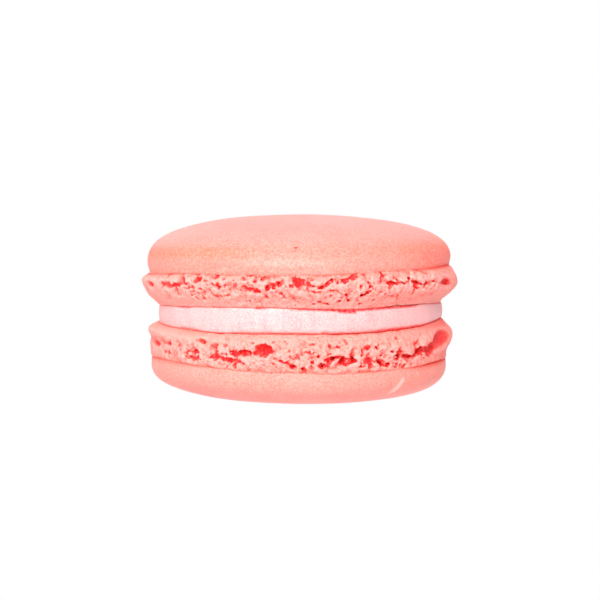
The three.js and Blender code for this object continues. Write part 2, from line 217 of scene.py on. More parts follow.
# %% The lower shell's measures
LOWER = SimpleNamespace(
    name="lower_shell", seed=29, turned_over=True,
    skin_radius=21.4, skin_height=5.6, across=3.15, up=2.97, pole_shift=1.5, shift_power=4, tuck=0.08,
    foot_height=5.4, foot_rise=0.35, flat_spot=7.5,
    left=[(0, -1.3), (0.03, -0.95), (0.08, -0.25), (0.12, 0.16), (0.16, 0.36), (0.2, 0.43), (0.27, 0.34),
          (0.35, 0.08), (0.42, -0.06), (0.5, 0.05), (0.6, 0.12), (0.75, 0.04), (1, 0)],
    front=[(0, -0.9), (0.1, -0.15), (0.2, 0.2), (0.35, 0.45), (0.5, 0.5), (0.7, 0.35), (1, 0)],
    right=[(0, -0.8), (0.1, -0.3), (0.17, 0.1), (0.25, 0.52), (0.34, 0.8), (0.42, 0.88), (0.5, 0.82),
           (0.6, 0.58), (0.7, 0.25), (0.78, 0.02), (0.86, -0.05), (1, 0)],
    calm=[(-82, 27, 0.85), (80, 19, 0.9)],
    lift=[(-100, -0.05), (-60, -0.18), (-50, -0.27), (-41, -0.37), (-36, -0.35), (-18, -0.32), (-8, -0.2),
          (0, -0.22), (8, -0.31), (26, -0.32), (40, -0.18), (52, 0.0), (60, 0.2), (68, 0.4), (78, 0.6),
          (95, 0.5), (125, 0)],
    crease=[(-90, 0.26), (-62, 0.3), (-40, 0.2), (-22, 0.05), (34, 0.05), (50, 0.16), (58, 0.5), (70, 0.5),
            (84, 0.2), (110, 0.1)],
    seam=[(-90, 0.2), (-62, -0.3), (-30, -0.1), (15, 0.1), (28, 0), (42, -0.3), (53, -0.2), (61, -0.34),
          (76, -0.5), (110, 0)],
    hollows=[
        (-71, 2.65, 1.8, 0.3, 0.65, -2),
        (-58, 2.25, 0.8, 0.15, 0.4, 0),
        (-53.5, 1.35, 0.3, 0.15, 0.3, 0),
        (-47.5, 2.8, 0.5, 0.14, 0.6, -50),
        (-61, 3.5, 0.4, 0.2, 0.4, 0),
        (-57.5, 3.55, 0.5, 0.26, 0.7, 0),
        (-42.3, 2.9, 1.7, 0.5, 0.4, 10),
        (-41.6, 3, 1.4, 0.34, 0.85, 14),
        (-42.3, 3.9, 1.4, 0.32, 0.75, 0),
        (-39, 3.65, 0.35, 0.3, 1.1, 0),
        (-37.6, 1.4, 0.45, 0.28, 0.6, 0),
        (-39.3, 1.35, 0.5, 0.22, 0.8, 0),
        (-31.6, 2.4, 0.45, 0.3, 0.9, -30),
        (-30, 2.6, 0.25, 0.18, 0.8, 0),
        (-32.5, 3.6, 1.3, 0.36, 1.2, 0),
        (-31.8, 3.5, 0.5, 0.46, 1.2, 0),
        (-29, 3.55, 0.7, 0.26, 1.1, 0),
        (-27.5, 3, 0.65, 0.18, 0.6, 0),
        (-26, 3.65, 0.7, 0.38, 1.2, -23),
        (-23.5, 3.9, 0.75, 0.3, 1.4, 0),
        (-24, 4.4, 0.25, 0.42, 1.1, 0),
        (-24, 2.9, 0.65, 0.32, 0.9, 0),
        (-19.5, 2.75, 1, 0.42, 1.2, 5),
        (-16, 2.65, 0.45, 0.25, 1.1, 0),
        (-12.5, 2.3, 1.2, 0.88, 1.9, 0),
        (-15.5, 1.75, 0.35, 0.14, 0.6, 34),
        (-17, 1.4, 0.28, 0.14, 0.7, 0),
        (-7.5, 1.05, 0.3, 0.15, 0.7, -35),
        (-9, 1.2, 0.14, 0.14, 0.4, 0),
        (-27.5, 1.8, 0.5, 0.18, 0.4, 0),
        (-20, 4.1, 0.22, 0.14, 0.6, 0),
        (-16.5, 4.1, 0.35, 0.14, 0.5, 0),
        (-3, 2.45, 0.4, 0.13, 0.5, -30),
        (-3, 3.1, 0.3, 0.14, 0.5, 15),
        (0, 3.25, 0.35, 0.18, 0.7, 0),
        (-6, 3.7, 0.45, 0.2, 1, 0),
        (-4, 3.85, 0.22, 0.16, 0.8, 0),
        (-2, 4.5, 0.45, 0.38, 1.1, 0),
        (2, 4.75, 0.45, 0.3, 1, -50),
        (2, 2.45, 0.5, 0.14, 0.5, -10),
        (4, 2.55, 0.4, 0.18, 0.7, 10),
        (5.5, 1.45, 0.45, 0.14, 0.5, 0),
        (7, 3, 0.3, 0.16, 0.6, -20),
        (4, 3.3, 0.26, 0.13, 0.4, 0),
        (4.5, 3.85, 0.45, 0.18, 0.6, 15),
        (9, 2.5, 0.35, 0.15, 0.4, 25),
        (11, 1.75, 0.2, 0.17, 0.6, 0),
        (14, 1.8, 0.23, 0.15, 0.5, -34),
        (16, 1.3, 0.45, 0.15, 0.5, 10),
        (17.5, 1.25, 0.18, 0.35, 0.5, 0),
        (8.5, 4.35, 0.6, 0.45, 1, 35),
        (11, 3.75, 0.85, 0.5, 1.2, 35),
        (14.3, 3.25, 0.85, 0.36, 1, 5),
        (16, 3.7, 0.8, 0.58, 1.5, 0),
        (18.3, 3.45, 0.8, 0.42, 1.1, 0),
        (19.5, 3.8, 0.75, 0.45, 1.5, 0),
        (17, 4.2, 0.65, 0.32, 1.2, 0),
        (18.7, 3.05, 0.28, 0.24, 0.6, 0),
        (25.8, 4.15, 1.5, 0.3, 0.5, 0),
        (26.6, 3.75, 0.8, 0.22, 0.7, 0),
        (27.2, 4.65, 0.4, 0.3, 1, 0),
        (23, 4.55, 0.65, 0.18, 0.6, 0),
        (31, 4.2, 0.75, 0.4, 1.2, -22),
        (34.8, 4.65, 0.8, 0.28, 0.8, 17),
        (25.2, 2.1, 0.65, 0.32, 0.8, 0),
        (23.5, 2.35, 0.2, 0.38, 0.6, 0),
        (29.3, 2.15, 0.3, 0.34, 0.9, 0),
        (21, 2.05, 0.25, 0.2, 0.5, 0),
        (23, 3.2, 0.25, 0.14, 0.4, 33),
        (31, 3.15, 0.2, 0.14, 0.4, 0),
        (32, 3.5, 0.3, 0.14, 0.3, 0),
        (35.7, 2.75, 0.7, 0.25, 0.8, 8),
        (39.8, 3.35, 1.25, 0.76, 0.8, -8),
        (43.4, 3.75, 1, 0.6, 0.8, -15),
        (39, 3.9, 0.55, 0.26, 0.9, 0),
        (38.2, 4.8, 0.28, 0.3, 0.6, 0),
        (39, 1.1, 0.2, 0.26, 0.5, 0),
        (35, 1.25, 0.3, 0.13, 0.3, 35),
        (44.3, 4.15, 0.85, 0.36, 1.2, 30),
        (50.9, 3.15, 1.8, 0.68, 1.5, 16),
        (56.5, 2.95, 1.2, 0.6, 1.2, 22),
        (52, 1, 0.24, 0.16, 0.3, 0),
        (60.8, 2.93, 1.9, 0.86, 1.3, 25),
        (68.2, 1.87, 3.65, 1.15, 1.3, 4),
    ],
)

# %% The cream's measures
CREAM = SimpleNamespace(
    radius=20.4, thickness=2.45, front_slope=math.radians(2.2), right_slope=math.radians(0.3),
    swell=0.12, shift=0.27,
)
lower_height = LOWER.foot_height + LOWER.skin_height
top = lower_height + CREAM.thickness + UPPER.foot_height + UPPER.skin_height
print("the macaron is", round(top, 1), "mm high without its lean")

# %% [markdown]
# The same seeded generator as in the model's source gives the same hollows round the back, so the
# fine surface and the coarse solid agree from every side.

# %% Hollows round the back
BACK = SimpleNamespace(count=14, start=84, end=276, low=0.42, high=0.86)


def seeded_random(seed):
    """Returns a function that draws numbers from 0 to 1 with 32-bit arithmetic."""
    state = seed
    whole = 2**32

    def draw():
        nonlocal state
        state = (state + 0x6D2B79F5) % whole
        t = ((state ^ (state >> 15)) * (1 | state)) % whole
        t = ((t + ((t ^ (t >> 7)) * (61 | t))) % whole) ^ t
        return (t ^ (t >> 14)) / whole

    return draw


def back_hollows(shell):
    draw = seeded_random(shell.seed + 1)

    def between(low, high):
        return low + (high - low) * draw()

    rows = []
    for i in range(BACK.count):
        azimuth = BACK.start + (BACK.end - BACK.start) * (i + between(0.15, 0.85)) / BACK.count
        half_height = between(0.35, 0.65)
        height = shell.foot_height * between(BACK.low, BACK.high)
        half_length = half_height * between(1.3, 3.0)
        depth = between(1.0, 1.7)
        slant = between(-20, 20)
        seen = -azimuth if shell.turned_over else azimuth
        rows.append((seen, height, half_length, half_height, depth, slant))
    return rows


for shell in (UPPER, LOWER):
    shell.all_hollows = shell.hollows + back_hollows(shell)
    print(shell.name, "has", len(shell.all_hollows), "large hollows")

# %% [markdown]
# ## Noise for a million points
#
# Sponge is noise at several scales. Blender's texture nodes could move a mesh along its normals, but
# real hollows undercut their edges, and moving a surface along its normals can't do that. So the
# foot is made as a solid field: a number at every point of a fine grid, positive in the crumb and
# negative in the air. Two kinds of noise in NumPy are quick enough for a million grid points:
# gradient noise swells and sinks gently, and cell noise has a round swelling about each of many
# scattered seeds, with soft creases between them, as in a cauliflower.

# %% Noise
def cell_corner(cell, step, order):
    """A number from 0 to 255 that belongs to a neighbour of each cell of the noise's lattice."""
    x, y, z = ((cell[:, axis] + step[axis]) & 255 for axis in range(3))
    return order[(order[(order[x] + y) & 255] + z) & 255]


SKEW = np.array(Matrix.Rotation(0.9, 3, (0.3, 0.5, 0.8)))  # turns the lattice away from the axes
CREASE_SHARPNESS = 9


def gradient_noise(points, size, seed):
    """Smooth noise of about -1 to 1 at each row of points, with swells about `size` across."""
    draw = np.random.default_rng(seed)
    directions = draw.normal(size=(256, 3)).astype(np.float32)
    directions /= np.linalg.norm(directions, axis=1, keepdims=True)
    order = draw.permutation(256)
    place = (points @ SKEW / size).astype(np.float32)
    cell = np.floor(place).astype(np.int32)
    inside = place - cell
    ease = inside**3 * (inside * (inside * 6 - 15) + 10)
    total = np.zeros(len(points), np.float32)
    for corner in itertools.product((0, 1), repeat=3):
        picked = directions[cell_corner(cell, corner, order)]
        reach = np.einsum("ij,ij->i", inside - np.float32(corner), picked)
        for axis in range(3):
            reach *= ease[:, axis] if corner[axis] else 1 - ease[:, axis]
        total += reach
    return total * 1.6


def cell_noise(points, size, seed):
    """Round swellings about `size` across, near 0.3 at their tops, with soft creases between."""
    draw = np.random.default_rng(seed)
    seeds = draw.random((256, 3), np.float32)
    order = draw.permutation(256)
    place = (points @ SKEW / size).astype(np.float32)
    cell = np.floor(place).astype(np.int32)
    inside = place - cell
    total = np.zeros(len(points), np.float32)
    for step in itertools.product((-1, 0, 1), repeat=3):
        away = seeds[cell_corner(cell, step, order)] + np.float32(step) - inside
        total += np.exp(-CREASE_SHARPNESS * np.einsum("ij,ij->i", away, away))
    return 0.3 + np.log(total) / CREASE_SHARPNESS


# %% [markdown]
# ## The outline of a shell
#
# Baked batter makes a smooth convex dome that is steeper at its side than a circle, so the skin is a
# superellipse. Under it the foot bulges out beyond the skin and draws in to the flat base. The seam
# between the two waves a little, as the skin set before the foot had finished rising.

# %% Lists that go round the macaron
EASE_STEPS = (-6, -3, 0, 3, 6)  # degrees


def reading(line, degrees):
    """Reads a list of azimuth and distance that goes round the macaron."""
    places, distances = zip(*line)
    return np.interp(degrees, places, distances, period=360)


def rise_at(line, azimuth):
    """Reads such a list with its corners eased."""
    return sum(reading(line, np.degrees(azimuth) + step) for step in EASE_STEPS) / len(EASE_STEPS)


# %% Seam and crease
SEAM_WAVE = SimpleNamespace(size=5.0, relief=0.06)


def seam_height(shell, azimuth):
    """Height of the line where the foot meets the skin."""
    ring = np.stack([np.sin(azimuth), np.cos(azimuth), 0 * azimuth], axis=-1) * shell.skin_radius
    wave = gradient_noise(ring.reshape(-1, 3), SEAM_WAVE.size, shell.seed + 2).reshape(azimuth.shape)
    level = shell.foot_height + shell.foot_rise * np.sin(azimuth)
    return level + rise_at(shell.seam, azimuth) + SEAM_WAVE.relief * wave


def crease_at(shell, azimuth, above):
    """How far the crease draws in at a height above the seam. A deeper crease is wider too."""
    depth = rise_at(shell.crease, azimuth)
    return depth * np.exp(-((above / (0.12 + 0.35 * depth)) ** 2))


# %% The foot's outline and its calm stretches
def foot_radius(shell, share, azimuth):
    """The foot's radius before its lumps, at a share of its height: 0 at the base, 1 at the skin."""
    share = np.clip(share, 0, 1)
    left, front, right = (np.interp(share, *zip(*side)) for side in (shell.left, shell.front, shell.right))
    across = np.sin(azimuth)
    side = np.where(across < 0, left, right)
    return shell.skin_radius + front + (side - front) * across**2


def calm_at(shell, azimuth):
    """1 where the foot is as rough as anywhere, down to 0 where it is smooth."""
    calm = 1.0
    for degrees, half_width, strength in shell.calm:
        away = np.degrees(np.angle(np.exp(1j * (azimuth - math.radians(degrees)))))
        calm = calm - strength * np.exp(-((away / half_width) ** 2))
    return calm


# %% A shell's own frame
def polar(shell, x, y):
    """Radius and azimuth, as seen from the front, of points in a shell's own frame."""
    side = -1 if shell.turned_over else 1
    return np.hypot(x, y), np.arctan2(side * x, -y)


# %% [markdown]
# ## The foot as a field
#
# A grid of cells about as small as the photograph's pixels is filled in steps, as the oven did it:
# the plain band first, then swelling lumps, then the hollows where steam broke out, and last the
# fine grains. Most hollows are a cluster of bubbles, because a single ellipsoid looks drilled.
# Rounding the minimum of two fields leaves a soft lip, where a plain minimum leaves a blade.

# %% Field helpers
CELL = 0.16  # mm
INNER_RADIUS = 18.2  # mm, the crumb further in is never seen
ROOM = 2.2  # mm of grid beyond the skin's edge
LEAN = 0.85  # a sloping side is nearer than it is along the radius


def rounded_min(a, b, width):
    overlap = np.maximum(width - np.abs(a - b), 0) / width
    return np.minimum(a, b) - overlap * overlap * width / 4


def window(axis, centre, reach):
    low, high = np.searchsorted(axis, (centre - reach, centre + reach))
    return slice(max(low - 1, 0), high + 1)


# %% The field of one foot
class Field:
    """Crumb is where values are positive. Axes hold the grid's places in millimetres."""

    def __init__(self, shell):
        reach = shell.skin_radius + ROOM
        self.shell = shell
        self.x = self.y = np.arange(-reach, reach, CELL, dtype=np.float32)
        self.z = np.arange(-1.0, shell.foot_height + 1.6, CELL, dtype=np.float32)
        flat = np.meshgrid(self.x, self.y, indexing="ij")
        radius, azimuth = polar(shell, *flat)
        columns = (radius > INNER_RADIUS - 3 * CELL) & (radius < reach)
        self.columns = np.nonzero(columns)
        radius, azimuth = radius[columns][:, None], azimuth[columns][:, None]
        z = self.z[None, :]
        seam = seam_height(shell, azimuth)
        lift = rise_at(shell.lift, azimuth)
        self.share = (z + lift) / (seam + lift)
        outer = foot_radius(shell, self.share, azimuth) - crease_at(shell, azimuth, z - seam)
        side = (outer - radius) * LEAN
        self.outward = side
        value = rounded_min(side, z + lift - 0.02, 0.3)
        value = np.minimum(value, seam + 0.05 - z)
        self.band = np.minimum(value, radius - INNER_RADIUS)
        x, y = self.x[self.columns[0]], self.y[self.columns[1]]
        self.places = np.stack(np.broadcast_arrays(x[:, None], y[:, None], z), axis=-1)
        self.calm = calm_at(shell, azimuth)

    def noise(self, near, size, seed):
        return gradient_noise(self.places[near], size, self.shell.seed * 100 + seed)

    def swellings(self, near, size, seed):
        return cell_noise(self.places[near], size, self.shell.seed * 100 + seed)

    def spread(self, values, outside=-1):
        """Puts the columns' values back into the whole grid."""
        whole = np.full((len(self.x), len(self.y), len(self.z)), outside, np.float32)
        whole[self.columns] = values
        return whole


# %% Lumps and curds
LUMP, CURD, GRAIN = 2.8, 1.2, 0.6  # mm across


def lumpy_band(field):
    """The band with its broad lumps, and the wandering that roughens the walls of bubbles."""
    near = np.abs(field.outward) < 2.4
    share = field.share[near]
    calm = np.broadcast_to(field.calm, near.shape)[near]
    fade = np.clip(share / 0.35, 0.2, 1) * np.clip((1.06 - share) / 0.12, 0.15, 1) * calm
    lumps = np.abs(field.noise(near, LUMP, 1)) - 0.3
    patchy = np.clip(0.8 + 0.7 * field.noise(near, 3.0, 6), 0.3, 1.4)
    curds = field.swellings(near, CURD, 7)
    value = field.band.copy()
    value[near] += fade * (0.4 * lumps + 0.55 * patchy * curds)
    rough = np.zeros_like(value)
    rough[near] = calm * (0.4 * field.noise(near, 1.0, 5) + 0.35 * field.noise(near, 0.5, 3) + 0.9 * curds)
    return value, rough


def grained(field, values):
    """Adds grains to every surface of the crumb, the walls of its hollows included."""
    near = np.abs(values) < 0.5
    share = field.share[near]
    calm = np.broadcast_to(field.calm, near.shape)[near]
    fade = np.clip(share / 0.35, 0.3, 1) * np.clip((1.02 - share) / 0.08, 0, 1) * calm
    grains = field.swellings(near, GRAIN, 8)
    curds = field.swellings(near, CURD, 7)
    result = values.copy()
    result[near] += fade * (0.28 * grains + 0.18 * curds + 0.22 * field.noise(near, 0.36, 9))
    return result


# %% One bubble
def carve(field, grid, rough, azimuth, height, size, depth_shift, slant, lip=0.12, ragged=0.7):
    """Takes one rough-walled bubble out of the grid. Size is half of its length, depth and height."""
    shell = field.shell
    side = -1 if shell.turned_over else 1
    share = height / (shell.foot_height + shell.foot_rise * math.sin(azimuth))
    radius = float(foot_radius(shell, share, azimuth)) - depth_shift
    centre = (side * radius * math.sin(azimuth), -radius * math.cos(azimuth))
    reach = max(size) * 1.5
    span = [window(field.x, centre[0], reach), window(field.y, centre[1], reach)]
    span.append(window(field.z, height, reach))
    dx = field.x[span[0]][:, None, None] - centre[0]
    dy = field.y[span[1]][None, :, None] - centre[1]
    up = field.z[span[2]][None, None, :] - height
    along = side * dx * math.cos(azimuth) + dy * math.sin(azimuth)
    out = side * dx * math.sin(azimuth) - dy * math.cos(azimuth)
    turn = side * math.radians(slant)
    along, up = along * math.cos(turn) + up * math.sin(turn), up * math.cos(turn) - along * math.sin(turn)
    far = np.sqrt((along / size[0]) ** 2 + (out / size[1]) ** 2 + (up / size[2]) ** 2)
    block = tuple(span)
    wall = (far - 1 + ragged * rough[block]) * min(size)
    grid[block] = rounded_min(grid[block], wall, lip)


# %% Hollows, as clusters of bubbles
SMOOTH = 0.8  # deep hollows of a greater half height, in mm, kept their smooth, moist wall
BUBBLES_ABOUT = 3  # round the core of a rough hollow


def carve_hollows(field, grid, rough):
    """A core for each hollow, and bubbles about it unless it is small, shallow or smooth."""
    draw = np.random.default_rng(field.shell.seed + 7)
    for degrees, height, half_length, half_height, depth, slant in field.shell.all_hollows:
        azimuth = math.radians(degrees)
        turn = math.radians(-slant if field.shell.turned_over else slant)
        core = (half_length + 0.05, min(depth, 1.9 * half_height + 0.25), half_height * 1.1 + 0.05)
        smooth = half_height > SMOOTH and depth > 1
        if smooth:
            lip, ragged = (0.15, 0.2) if half_length < 1.5 else (0.6, 0.12)
        else:
            lip, ragged = 0.15 + 0.6 * (1 - float(calm_at(field.shell, azimuth))), 0.62
        carve(field, grid, rough, azimuth, height, core, 0.0, slant, lip, ragged)
        clustered = half_height > 0.22 and depth > 0.45 and not smooth
        for _ in range(BUBBLES_ABOUT if clustered else 0):
            step = draw.uniform(-0.85, 0.85) * half_length
            nudge = draw.normal() * half_height * 0.4
            spot = azimuth + (step * math.cos(turn)) / field.shell.skin_radius
            level = height + step * math.sin(turn) + nudge
            bubble = max(0.16, half_height * draw.uniform(0.4, 0.95))
            size = (bubble * draw.uniform(1.0, 1.7), min(depth, bubble * 1.8), bubble)
            carve(field, grid, rough, spot, level, size, draw.uniform(0, 0.5) * depth, slant)


# %% Small bubbles
def carve_small_bubbles(field, grid, rough):
    """Bubbles down to pores round the back, more in the half next to the skin.

    The front has none of them, because its small hollows are in the shells' tables.
    """
    draw = np.random.default_rng(field.shell.seed + 8)
    for count, small, large in ((24, 0.3, 0.45), (200, 0.16, 0.3)):
        for _ in range(count):
            share = draw.beta(2.2, 1.5)
            azimuth = draw.uniform(-math.pi, math.pi)
            bubble = draw.uniform(small, large) * min(1, 2 * calm_at(field.shell, azimuth))
            size = (bubble * draw.uniform(1, 1.9), bubble * draw.uniform(1, 1.8), bubble)
            height = share * field.shell.foot_height
            slant = draw.normal() * 25
            if bubble > small and math.cos(azimuth) < 0.1:
                carve(field, grid, rough, azimuth, height, size, draw.uniform(-0.2, 0.35), slant, ragged=1.0)


# %% [markdown]
# OpenVDB, which comes with Blender, turns the field into a mesh of nearly even four-sided faces. The
# bubbles can leave crumbs that touch nothing and pockets that open nowhere: both are surfaces of
# their own, so keeping only the largest connected surface removes them.

# %% From field to mesh
def largest_part(points, faces):
    """Keeps the largest connected part of a mesh of four-sided faces."""
    label = np.arange(len(points))
    ends = np.concatenate([faces[:, [k, (k + 1) % 4]] for k in range(4)])
    while True:
        lower = label.copy()
        np.minimum.at(lower, ends[:, 0], label[ends[:, 1]])
        np.minimum.at(lower, ends[:, 1], label[ends[:, 0]])
        lower = lower[lower]
        if np.array_equal(lower, label):
            break
        label = lower
    keep = label == np.bincount(label).argmax()
    renumber = np.cumsum(keep) - 1
    return points[keep], renumber[faces[keep[faces[:, 0]]]]


def new_object(name, points, faces):
    """A mesh object from points in millimetres and lists of corners."""
    mesh = bpy.data.meshes.new(name)
    mesh.from_pydata(np.asarray(points) * MM, [], faces)
    made = bpy.data.objects.new(name, mesh)
    bpy.context.collection.objects.link(made)
    return made


# %% The foot
def foot_object(shell):
    field = Field(shell)
    value, rough = lumpy_band(field)
    grid, rough = field.spread(value), field.spread(rough)
    carve_small_bubbles(field, grid, rough)
    carve_hollows(field, grid, rough)
    grid = field.spread(grained(field, grid[field.columns]))
    volume = openvdb.FloatGrid(background=1.0)
    volume.copyFromArray(-grid)
    points, faces = volume.convertToQuads(isovalue=0.0)
    points = points * CELL + (field.x[0], field.y[0], field.z[0])
    points, faces = largest_part(points, faces)
    return new_object(shell.name + "_foot", points, faces.tolist()), field, grid


# %% [markdown]
# ## Skin and core
#
# The skin is a surface of revolution, so a grid of rings gives it even, fine faces, where the field
# would give it needless steps. Its rim curls in over the foot. The core fills the hidden middle.

# %% Rings
def ring_object(name, rings, low_centre, high_centre):
    """Joins rings of points, lowest first, into one closed surface."""
    count = len(rings[0])
    points = np.concatenate([[low_centre], *rings, [high_centre]])
    faces = []
    for k in range(len(rings) - 1):
        a, b = 1 + k * count, 1 + (k + 1) * count
        faces += [(a + i, a + (i + 1) % count, b + (i + 1) % count, b + i) for i in range(count)]
    top, last = len(points) - 1, 1 + (len(rings) - 1) * count
    faces += [(0, 1 + (i + 1) % count, 1 + i) for i in range(count)]
    faces += [(last + i, last + (i + 1) % count, top) for i in range(count)]
    return new_object(name, points, faces)


def ring(radius, height, azimuth, side):
    radius = np.broadcast_to(radius, azimuth.shape)
    height = np.broadcast_to(height, azimuth.shape)
    return np.stack([side * radius * np.sin(azimuth), -radius * np.cos(azimuth), height], axis=-1)


# %% Skin
SKIN_COLUMNS = 200
SKIN_ROWS = 34
SKIN_CURL = 0.28  # mm that the skin's rim curls in over the foot
SKIN_SWELLS = SimpleNamespace(size=8.0, relief=0.06)
SKIN_DIMPLES = SimpleNamespace(size=2.4, relief=0.012)


def even_turns(shell):
    """Angles of the superellipse that step evenly along its outline, from the rim to the crown."""
    turn = np.linspace(0, 1, 4000) ** 2 * math.pi / 2
    radius = shell.skin_radius * np.cos(turn) ** (2 / shell.across)
    height = shell.skin_height * np.sin(turn) ** (2 / shell.up)
    length = np.concatenate([[0], np.cumsum(np.hypot(np.diff(radius), np.diff(height)))])
    steps = np.linspace(0, 0.985, SKIN_ROWS) ** 1.15 * length[-1]
    return np.interp(steps, length, turn)


def skin_object(shell):
    side = -1 if shell.turned_over else 1
    azimuth = side * np.arange(SKIN_COLUMNS) * 2 * math.pi / SKIN_COLUMNS
    seam = seam_height(shell, azimuth)
    crown = shell.foot_height + shell.skin_height
    start = seam + SKIN_CURL * 0.6
    tuck = shell.tuck * (1 + 2 * np.sin(azimuth) ** 2) / 3
    rings = [ring(r, seam - SKIN_CURL * 0.4, azimuth, side) for r in (17.0, shell.skin_radius - 1.0)]
    for turn in np.radians([75, 50, 25]):
        radius = shell.skin_radius - tuck - SKIN_CURL * (1 - math.cos(turn))
        rings.append(ring(radius, start - SKIN_CURL * math.sin(turn), azimuth, side))
    for turn in even_turns(shell):
        radius = shell.skin_radius * math.cos(turn) ** (2 / shell.across)
        rise = math.sin(turn) ** (2 / shell.up)
        level = ring(radius, start + (crown - start) * rise, azimuth, side)
        swell = gradient_noise(level, SKIN_SWELLS.size, shell.seed + 3) * SKIN_SWELLS.relief
        dimple = gradient_noise(level, SKIN_DIMPLES.size, shell.seed + 4) * SKIN_DIMPLES.relief
        level *= (1 + (swell + dimple) * (1 - rise) / shell.skin_radius)[:, None]
        level[:, 2] += (swell + dimple) * rise
        tucked = tuck * math.exp(-((shell.skin_height * rise / 0.8) ** 2))
        level[:, :2] *= (1 - tucked / shell.skin_radius)[:, None]
        level[:, 0] += side * shell.pole_shift * rise**shell.shift_power
        if radius < shell.flat_spot:
            level[:, 2] = crown
        rings.append(level)
    top = rings[-1].mean(axis=0)
    return ring_object(shell.name + "_skin", rings, (0, 0, shell.foot_height), top)


# %% Core
def core_object(shell):
    """The hidden middle, from rings of a radius and a height."""
    side = -1 if shell.turned_over else 1
    azimuth = side * np.arange(96) * 2 * math.pi / 96
    outline = [(19.6, 0.0), (19.95, 0.05), (20.0, 0.15), (18.8, 0.6), (18.6, seam_height(shell, azimuth))]
    rings = [ring(r, z, azimuth, side) for r, z in outline]
    return ring_object(shell.name + "_core", rings, (0, 0, 0), (0, 0, shell.foot_height))


# %% [markdown]
# A Boolean union makes one closed body of foot, skin and core, so that nothing is left inside. The
# Manifold solver is exact enough for closed meshes and takes a second where the older ones take
# minutes.

# %% One body
def united(first, *others):
    for other in others:
        union = first.modifiers.new("union", "BOOLEAN")
        union.operation = "UNION"
        union.solver = "MANIFOLD"
        union.object = other
    bpy.context.view_layer.update()
    solid = first.evaluated_get(bpy.context.evaluated_depsgraph_get())
    mesh = bpy.data.meshes.new_from_object(solid)
    for used in (first, *others):
        bpy.data.objects.remove(used)
    return mesh


# %% [markdown]
# The crumb's colour is painted shade that depends on how far it lies in a hollow: pale on the lumps
# and red inside. How enclosed a point is can be measured as the share of solid in a small box about
# it: a half on a flat surface, less on a lump and more in a hollow. Running sums over the field's
# grid give that share for every point at once, and each mesh point keeps it for the material to read.

# %% Share of solid about each point
def solid_share(solid, reach):
    """The share of solid cells in a box that reaches this many millimetres each way."""
    cells = max(1, round(reach / CELL))
    for axis in range(3):
        edges = [(cells + 1, cells) if k == axis else (0, 0) for k in range(3)]
        total = np.cumsum(np.pad(solid, edges, mode="edge"), axis=axis, dtype=np.float64)
        count = solid.shape[axis]
        ahead = np.take(total, range(2 * cells + 1, 2 * cells + 1 + count), axis=axis)
        behind = np.take(total, range(count), axis=axis)
        solid = ((ahead - behind) / (2 * cells + 1)).astype(np.float32)
    return solid


def sample(field, grid, points):
    """Reads the grid at points in millimetres, evenly between its cells."""
    start = np.array((field.x[0], field.y[0], field.z[0]))
    place = np.clip((points - start) / CELL, 0, np.array(grid.shape) - 1.001)
    cell = place.astype(int)
    part = place - cell
    total = 0
    for corner in itertools.product((0, 1), repeat=3):
        weight = np.prod(np.where(corner, part, 1 - part), axis=1)
        total = total + weight * grid[tuple((cell + corner).T)]
    return total


# %% How enclosed each point is
CLOSE, MIDDLE, BROAD = 0.3, 0.6, 1.2  # mm that a box reaches each way
OVERHEAD = 0.5  # mm above a point, where the box of what hangs over it lies
CREAM_SHADE = 0.45  # pale cream counts for less than crumb


def enclosure(field, grid, points):
    """How enclosed points are closely and broadly, and how much lies just above them."""
    flat = np.meshgrid(field.x, field.y, indexing="ij")
    radius, azimuth = (value[:, :, None] for value in polar(field.shell, *flat))
    z = field.z[None, None, :]
    skin = (z > seam_height(field.shell, azimuth)) & (radius < field.shell.skin_radius)
    solid = ((grid > 0) | skin | (radius < INNER_RADIUS)).astype(np.float32)
    cream = (z < 0) & (radius < CREAM.radius)
    solid = np.maximum(solid, cream * np.float32(CREAM_SHADE))
    close, middle, broad = (solid_share(solid, reach) for reach in (CLOSE, MIDDLE, BROAD))
    overhead = points + (0, 0, -OVERHEAD if field.shell.turned_over else OVERHEAD)
    return sample(field, close, points), sample(field, broad, points), sample(field, middle, overhead)


# %% Masks
FULL_CREASE = 0.35  # mm, a groove this deep is in full shade


def paint_masks(mesh, shell, field, grid):
    """Stores on each point what the material needs to know about where it lies."""
    points = np.empty(3 * len(mesh.vertices), np.float32)
    mesh.vertices.foreach_get("co", points)
    points = points.reshape(-1, 3) / MM
    x, y, z = points.T
    radius, azimuth = polar(shell, x, y)
    seam = seam_height(shell, azimuth)
    above = z - seam
    skin = np.clip((above + 0.05) / 0.15, 0, 1)
    crown = np.clip(above / np.where(above > 0, shell.skin_height, seam), -1, 1)
    close, broad, over = enclosure(field, grid, points)
    sunk = sample(field, field.spread(field.band, 0), points)
    crease = crease_at(shell, azimuth, above) / FULL_CREASE
    masks = dict(skin=skin, crown=crown, close=close, broad=broad, over=over, sunk=sunk, crease=crease)
    for name, values in masks.items():
        mesh.attributes.new(name, "FLOAT", "POINT").data.foreach_set("value", values.astype(np.float32))
    on_foot = skin < 0.5
    print(shell.name, "foot enclosure", np.percentile(close[on_foot], (5, 50, 95)).round(2),
          np.percentile(broad[on_foot], (5, 50, 95)).round(2))


# %% Build the shells
def upper_place():
    lean = Matrix.Rotation(-CREAM.front_slope, 4, "X") @ Matrix.Rotation(-CREAM.right_slope, 4, "Y")
    return Matrix.Translation(Vector((UPPER.shift, 0, lower_height + CREAM.thickness)) * MM) @ lean


def lower_place():
    return Matrix.Translation((0, 0, lower_height * MM)) @ Matrix.Rotation(math.pi, 4, "Y")


